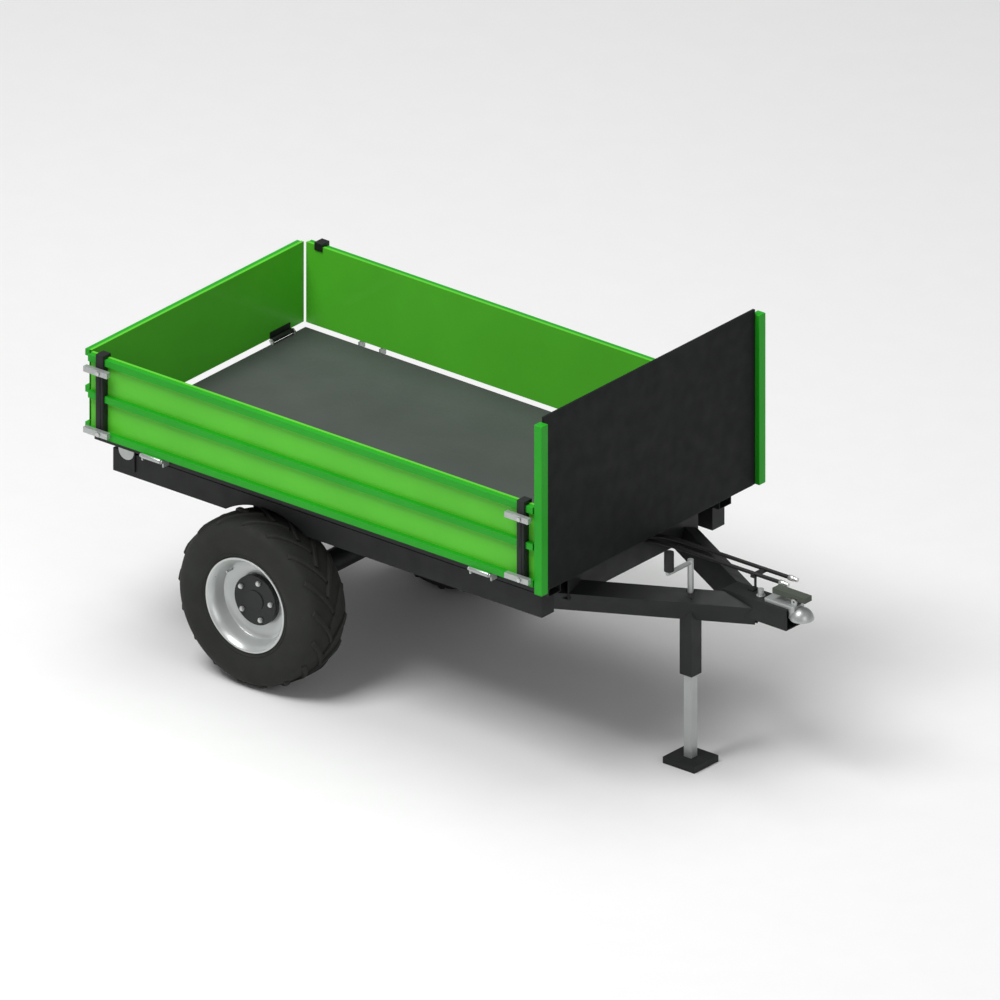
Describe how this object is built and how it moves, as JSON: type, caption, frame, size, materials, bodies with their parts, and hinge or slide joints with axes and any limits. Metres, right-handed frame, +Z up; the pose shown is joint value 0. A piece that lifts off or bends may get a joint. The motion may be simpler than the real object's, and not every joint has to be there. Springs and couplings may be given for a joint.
{
  "type": "tipping trailer",
  "caption": "Single-axle drop-side tipping trailer with headboard, folding boards, V drawbar, ball coupling, crank jack and telescopic tipping ram.",
  "frame": {"origin": "on the ground, midway between the tailgate's outer face and the coupling's nose, on the centreline", "axes": "+X forward to the hitch, +Y to the trailer's left, +Z up"},
  "size_m": [3.334, 1.544, 1.687],
  "materials": {
    "panel_green": "satin",
    "post_green": "satin",
    "dark_paint": "satin",
    "floor_grey": "matte",
    "zinc": "satin",
    "rim_silver": "satin",
    "tyre": "matte",
    "hose_rubber": "matte",
    "handle_plastic": "satin",
    "grip_plastic": "satin"
  },
  "bodies": {
    "chassis": {"rail_right": "dark_paint", "rail_left": "dark_paint", "cross_beam_front": "dark_paint", "cross_beam_rear": "dark_paint", "ram_cradle": "dark_paint", "inner_sills": "dark_paint", "axle_hangers": "dark_paint", "axle_beam": "dark_paint", "tip_ears": "dark_paint", "tip_pins": "zinc", "drawbar_beam_right": "dark_paint", "drawbar_beam_left": "dark_paint", "coupling_tube": "dark_paint", "coupling_body": "zinc", "coupling_bolt": "zinc", "jack_tube": "dark_paint", "hoses": "hose_rubber", "hose_holder": "dark_paint", "hose_couplers": "zinc"},
    "bed": {"floor_plate": "floor_grey", "floor_frame": "dark_paint", "subframe_rails": "dark_paint", "bed_cross_members": "dark_paint", "headboard_panel": "dark_paint", "headboard_posts": "post_green", "tip_lugs": "dark_paint", "ram_cup": "dark_paint", "hinge_brackets": "zinc"},
    "side_board_right": {"side_board_right": "panel_green", "corner_posts_right": "dark_paint"},
    "side_board_left": {"side_board_left": "panel_green", "corner_posts_left": "dark_paint"},
    "tailgate": {"tailgate": "panel_green", "tailgate_hinges": "dark_paint"},
    "wheel_right": {"tyre_right": "tyre", "rim_right": "rim_silver", "hub_right": "dark_paint", "wheel_bolts_right": "zinc"},
    "wheel_left": {"tyre_left": "tyre", "rim_left": "rim_silver", "hub_left": "dark_paint", "wheel_bolts_left": "zinc"},
    "jack_leg": {"jack_leg": "zinc", "jack_foot": "dark_paint"},
    "jack_crank": {"jack_crank": "zinc"},
    "crank_grip": {"crank_grip": "grip_plastic"},
    "coupling_handle": {"coupling_handle": "handle_plastic"},
    "ram_barrel": {"ram_barrel": "dark_paint"},
    "ram_stage_1": {"ram_stage_1": "zinc"},
    "ram_stage_2": {"ram_stage_2": "zinc"},
    "ram_rod": {"ram_rod": "zinc"},
    "latch_right_front_upper": {"latch_right_front_upper": "zinc"},
    "latch_right_front_lower": {"latch_right_front_lower": "zinc"},
    "latch_right_rear_upper": {"latch_right_rear_upper": "zinc"},
    "latch_right_rear_lower": {"latch_right_rear_lower": "zinc"},
    "latch_left_front_upper": {"latch_left_front_upper": "zinc"},
    "latch_left_front_lower": {"latch_left_front_lower": "zinc"},
    "latch_left_rear_upper": {"latch_left_rear_upper": "zinc"},
    "latch_left_rear_lower": {"latch_left_rear_lower": "zinc"}
  },
  "joints": [
    {"name": "bed_tip", "type": "hinge", "parent": "chassis", "child": "bed", "pos_m": [-1.514, 0, 0.826], "axis": [0, -1, 0], "range_deg": [0, 45]},
    {"name": "side_board_right_drop", "type": "hinge", "parent": "bed", "child": "side_board_right", "pos_m": [0, -0.734, 0.904], "axis": [1, 0, 0], "range_deg": [0, 165]},
    {"name": "side_board_left_drop", "type": "hinge", "parent": "bed", "child": "side_board_left", "pos_m": [0, 0.734, 0.904], "axis": [-1, 0, 0], "range_deg": [0, 165]},
    {"name": "tailgate_drop", "type": "hinge", "parent": "bed", "child": "tailgate", "pos_m": [-1.619, 0, 0.911], "axis": [0, -1, 0], "range_deg": [0, 90]},
    {"name": "wheel_right_spin", "type": "hinge", "parent": "chassis", "child": "wheel_right", "pos_m": [-0.773, -0.621, 0.38], "axis": [0, 1, 0], "continuous": true},
    {"name": "wheel_left_spin", "type": "hinge", "parent": "chassis", "child": "wheel_left", "pos_m": [-0.773, 0.621, 0.38], "axis": [0, 1, 0], "continuous": true},
    {"name": "jack_crank_turn", "type": "hinge", "parent": "chassis", "child": "jack_crank", "pos_m": [1.118, -0.123, 0.9], "axis": [0, 0, 1], "range_deg": [0, 5400]},
    {"name": "jack_leg_slide", "type": "slide", "parent": "chassis", "child": "jack_leg", "axis": [0, 0, 1], "range_m": [0, 0.3]},
    {"name": "crank_grip_spin", "type": "hinge", "parent": "jack_crank", "child": "crank_grip", "pos_m": [1.118, -0.264, 0.95], "axis": [0, 0, 1], "continuous": true},
    {"name": "coupling_handle_lift", "type": "hinge", "parent": "chassis", "child": "coupling_handle", "pos_m": [1.589, 0, 0.835], "axis": [0, 1, 0], "range_deg": [0, 30]},
    {"name": "ram_tilt", "type": "hinge", "parent": "chassis", "child": "ram_barrel", "pos_m": [-0.431, 0, 0.759], "axis": [0, -1, 0], "range_deg": [0, 21.7]},
    {"name": "ram_stage_1_slide", "type": "slide", "parent": "ram_barrel", "child": "ram_stage_1", "axis": [0, 0, 1], "range_m": [0, 0.2745]},
    {"name": "ram_stage_2_slide", "type": "slide", "parent": "ram_stage_1", "child": "ram_stage_2", "axis": [0, 0, 1], "range_m": [0, 0.2745]},
    {"name": "ram_rod_slide", "type": "slide", "parent": "ram_stage_2", "child": "ram_rod", "axis": [0, 0, 1], "range_m": [0, 0.2745]},
    {"name": "latch_right_front_upper_turn", "type": "hinge", "parent": "side_board_right", "child": "latch_right_front_upper", "pos_m": [0.723, -0.741, 1.225], "axis": [0, 1, 0], "range_deg": [0, 90]},
    {"name": "latch_right_front_lower_turn", "type": "hinge", "parent": "side_board_right", "child": "latch_right_front_lower", "pos_m": [0.723, -0.741, 0.947], "axis": [0, 1, 0], "range_deg": [0, 90]},
    {"name": "latch_right_rear_upper_turn", "type": "hinge", "parent": "side_board_right", "child": "latch_right_rear_upper", "pos_m": [-1.54, -0.741, 1.225], "axis": [0, 1, 0], "range_deg": [0, 90]},
    {"name": "latch_right_rear_lower_turn", "type": "hinge", "parent": "side_board_right", "child": "latch_right_rear_lower", "pos_m": [-1.54, -0.741, 0.947], "axis": [0, 1, 0], "range_deg": [0, 90]},
    {"name": "latch_left_front_upper_turn", "type": "hinge", "parent": "side_board_left", "child": "latch_left_front_upper", "pos_m": [0.723, 0.741, 1.225], "axis": [0, 1, 0], "range_deg": [0, 90]},
    {"name": "latch_left_front_lower_turn", "type": "hinge", "parent": "side_board_left", "child": "latch_left_front_lower", "pos_m": [0.723, 0.741, 0.947], "axis": [0, 1, 0], "range_deg": [0, 90]},
    {"name": "latch_left_rear_upper_turn", "type": "hinge", "parent": "side_board_left", "child": "latch_left_rear_upper", "pos_m": [-1.54, 0.741, 1.225], "axis": [0, 1, 0], "range_deg": [0, 90]},
    {"name": "latch_left_rear_lower_turn", "type": "hinge", "parent": "side_board_left", "child": "latch_left_rear_lower", "pos_m": [-1.54, 0.741, 0.947], "axis": [0, 1, 0], "range_deg": [0, 90]}
  ],
  "couplings": [
    {"joint": "jack_leg_slide", "follows": "jack_crank_turn", "m_per_rad": 0.00318},
    {"joint": "ram_tilt", "follows": "bed_tip", "ratio": 0.48},
    {"joint": "ram_stage_1_slide", "follows": "bed_tip", "m_per_rad": 0.349},
    {"joint": "ram_stage_2_slide", "follows": "bed_tip", "m_per_rad": 0.349},
    {"joint": "ram_rod_slide", "follows": "bed_tip", "m_per_rad": 0.349}
  ]
}
